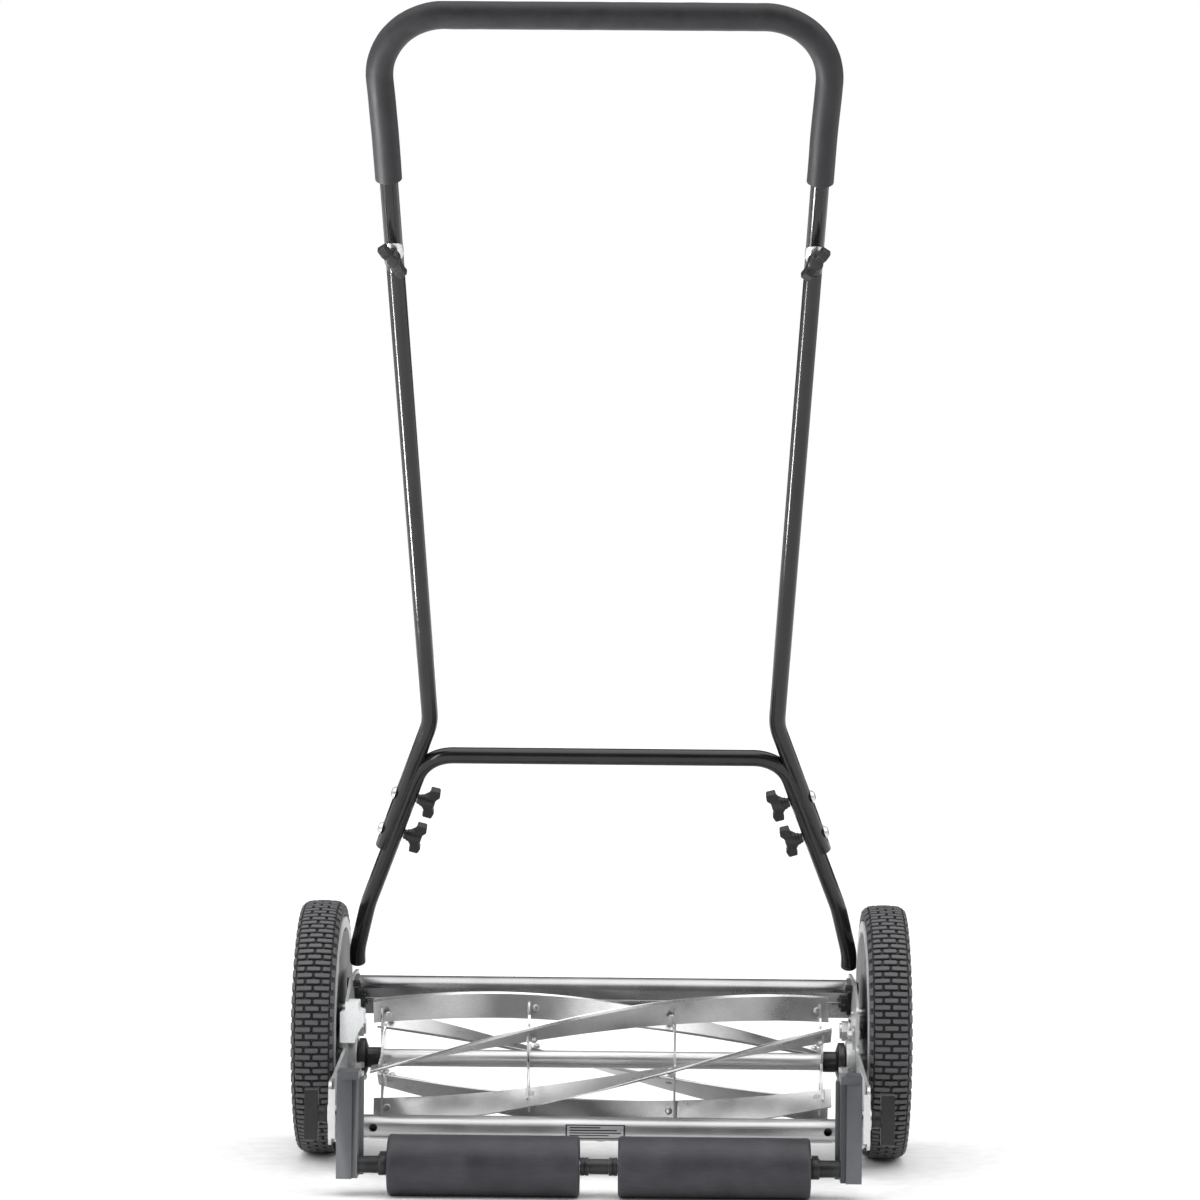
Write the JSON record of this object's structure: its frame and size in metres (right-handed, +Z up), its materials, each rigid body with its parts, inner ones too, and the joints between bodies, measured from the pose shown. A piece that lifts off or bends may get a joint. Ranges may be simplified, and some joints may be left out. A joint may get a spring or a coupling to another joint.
{
  "type": "reel mower",
  "caption": "Hand-pushed reel mower with geared wheels, a twisted-blade reel, a cutter bar, a rear roller and a leaning U-shaped handle with a foam grip.",
  "frame": {"origin": "on the ground, under the middle of the whole object", "axes": "+X to the operator's right, +Y in the direction of travel, +Z up"},
  "size_m": [0.608, 0.7374, 1.0639],
  "materials": {
    "tyre": "moulded block tread",
    "hub_grey": "light grey moulded plastic",
    "hub_cap_black": "matte",
    "bronze": "sintered bush",
    "plate_zinc": "zinc plated",
    "black_paint": "black powder coat",
    "grey_paint": "dark grey powder coat",
    "silver_paint": "silver paint",
    "shield_black": "matte",
    "zinc": "zinc plated",
    "steel": "ground steel",
    "gear_steel": "sintered steel",
    "white_plastic": "white moulded plastic",
    "roller_plastic": "dark grey moulded plastic",
    "black_plastic": "matte",
    "foam": "closed cell foam"
  },
  "bodies": {
    "chassis": {"left_side_plate": "plate_zinc", "right_side_plate": "plate_zinc", "front_tie_bar": "silver_paint", "white_cover": "white_plastic", "dust_shields": "shield_black", "shield_screws": "zinc", "axle_stubs": "steel", "axle_fasteners": "zinc", "plate_bolts": "zinc", "pivot_bolts": "black_paint", "bearing_housings": "plate_zinc", "reel_bearings": "steel", "bar_adjusters": "zinc"},
    "reel": {"reel_shaft": "steel", "spiders": "silver_paint", "blade_rivets": "zinc", "drive_pawls": "steel", "dust_washers": "black_plastic", "blade_1": "silver_paint", "blade_2": "silver_paint", "blade_3": "silver_paint", "blade_4": "silver_paint", "blade_5": "silver_paint"},
    "cutter": {"cutter_bar": "silver_paint", "bar_brackets": "zinc", "bed_knife": "steel", "bed_knife_screws": "zinc"},
    "roller_frame": {"left_roller_bracket": "grey_paint", "right_roller_bracket": "grey_paint", "roller_axle": "steel", "roller_bushes": "black_plastic", "roller_fasteners": "zinc"},
    "handle": {"lower_handle": "black_paint", "left_middle_tube": "black_paint", "right_middle_tube": "black_paint", "upper_handle": "black_paint", "grip": "foam", "handle_bolts": "zinc"},
    "left_wheel": {"left_tyre": "tyre", "left_wheel_hub": "hub_grey", "left_wheel_bush": "bronze", "left_hub_cap": "hub_cap_black"},
    "left_pinion_gear": {"left_pinion": "gear_steel"},
    "left_roller_drum": {"left_roller": "roller_plastic", "left_roller_caps": "roller_plastic"},
    "left_height_lever": {"left_height_knob": "black_plastic"},
    "left_join_wing": {"left_join_knob": "black_plastic"},
    "left_clamp_wing_1": {"left_clamp_knob_1": "black_plastic"},
    "left_clamp_wing_2": {"left_clamp_knob_2": "black_plastic"},
    "right_wheel": {"right_tyre": "tyre", "right_wheel_hub": "hub_grey", "right_wheel_bush": "bronze", "right_hub_cap": "hub_cap_black"},
    "right_pinion_gear": {"right_pinion": "gear_steel"},
    "right_roller_drum": {"right_roller": "roller_plastic", "right_roller_caps": "roller_plastic"},
    "right_height_lever": {"right_height_knob": "black_plastic"},
    "right_join_wing": {"right_join_knob": "black_plastic"},
    "right_clamp_wing_1": {"right_clamp_knob_1": "black_plastic"},
    "right_clamp_wing_2": {"right_clamp_knob_2": "black_plastic"}
  },
  "joints": [
    {"name": "left_wheel_spin", "type": "hinge", "parent": "chassis", "child": "left_wheel", "pos_m": [-0.28, 0.24173, 0.127], "axis": [1, 0, 0], "continuous": true},
    {"name": "right_wheel_spin", "type": "hinge", "parent": "chassis", "child": "right_wheel", "pos_m": [0.28, 0.24173, 0.127], "axis": [1, 0, 0], "continuous": true},
    {"name": "reel_spin", "type": "hinge", "parent": "chassis", "child": "reel", "pos_m": [0, 0.17334, 0.1045], "axis": [1, 0, 0], "continuous": true},
    {"name": "left_pinion_spin", "type": "hinge", "parent": "chassis", "child": "left_pinion_gear", "pos_m": [-0.272, 0.17334, 0.1045], "axis": [1, 0, 0], "continuous": true},
    {"name": "right_pinion_spin", "type": "hinge", "parent": "chassis", "child": "right_pinion_gear", "pos_m": [0.272, 0.17334, 0.1045], "axis": [1, 0, 0], "continuous": true},
    {"name": "cutter_tilt", "type": "hinge", "parent": "chassis", "child": "cutter", "pos_m": [0, 0.11473, 0.045], "axis": [1, 0, 0], "range_deg": [-2.5, 0]},
    {"name": "height_slide", "type": "slide", "parent": "chassis", "child": "roller_frame", "axis": [0, 0, 1], "range_m": [-0.016, 0.016]},
    {"name": "left_roller_spin", "type": "hinge", "parent": "roller_frame", "child": "left_roller_drum", "pos_m": [-0.108, -0.01627, 0.0285], "axis": [1, 0, 0], "continuous": true},
    {"name": "right_roller_spin", "type": "hinge", "parent": "roller_frame", "child": "right_roller_drum", "pos_m": [0.108, -0.01627, 0.0285], "axis": [1, 0, 0], "continuous": true},
    {"name": "left_height_knob_turn", "type": "hinge", "parent": "roller_frame", "child": "left_height_lever", "pos_m": [-0.268, -0.01327, 0.075], "axis": [-1, 0, 0], "range_deg": [0, 450]},
    {"name": "right_height_knob_turn", "type": "hinge", "parent": "roller_frame", "child": "right_height_lever", "pos_m": [0.268, -0.01327, 0.075], "axis": [1, 0, 0], "range_deg": [0, 450]},
    {"name": "handle_fold", "type": "hinge", "parent": "chassis", "child": "handle", "pos_m": [0, 0.24373, 0.153], "axis": [1, 0, 0], "range_deg": [-50, 0]},
    {"name": "left_join_knob_turn", "type": "hinge", "parent": "handle", "child": "left_join_wing", "pos_m": [-0.1845, -0.23342, 0.86729], "axis": [0, -0.8315, -0.5555], "range_deg": [0, 450]},
    {"name": "left_clamp_knob_turn_1", "type": "hinge", "parent": "handle", "child": "left_clamp_wing_1", "pos_m": [-0.20295, 0.1243, 0.33178], "axis": [0.9485, 0.1759, -0.2633], "range_deg": [0, 450]},
    {"name": "left_clamp_knob_turn_2", "type": "hinge", "parent": "handle", "child": "left_clamp_wing_2", "pos_m": [-0.18859, 0.10042, 0.36754], "axis": [0.9485, 0.1759, -0.2633], "range_deg": [0, 450]},
    {"name": "right_join_knob_turn", "type": "hinge", "parent": "handle", "child": "right_join_wing", "pos_m": [0.1845, -0.23342, 0.86729], "axis": [0, -0.8315, -0.5555], "range_deg": [0, 450]},
    {"name": "right_clamp_knob_turn_1", "type": "hinge", "parent": "handle", "child": "right_clamp_wing_1", "pos_m": [0.20295, 0.1243, 0.33178], "axis": [-0.9485, 0.1759, -0.2633], "range_deg": [0, 450]},
    {"name": "right_clamp_knob_turn_2", "type": "hinge", "parent": "handle", "child": "right_clamp_wing_2", "pos_m": [0.18859, 0.10042, 0.36754], "axis": [-0.9485, 0.1759, -0.2633], "range_deg": [0, 450]}
  ],
  "couplings": [
    {"joint": "reel_spin", "follows": "left_wheel_spin", "ratio": 5},
    {"joint": "left_pinion_spin", "follows": "left_wheel_spin", "ratio": 5},
    {"joint": "right_pinion_spin", "follows": "right_wheel_spin", "ratio": 5}
  ]
}
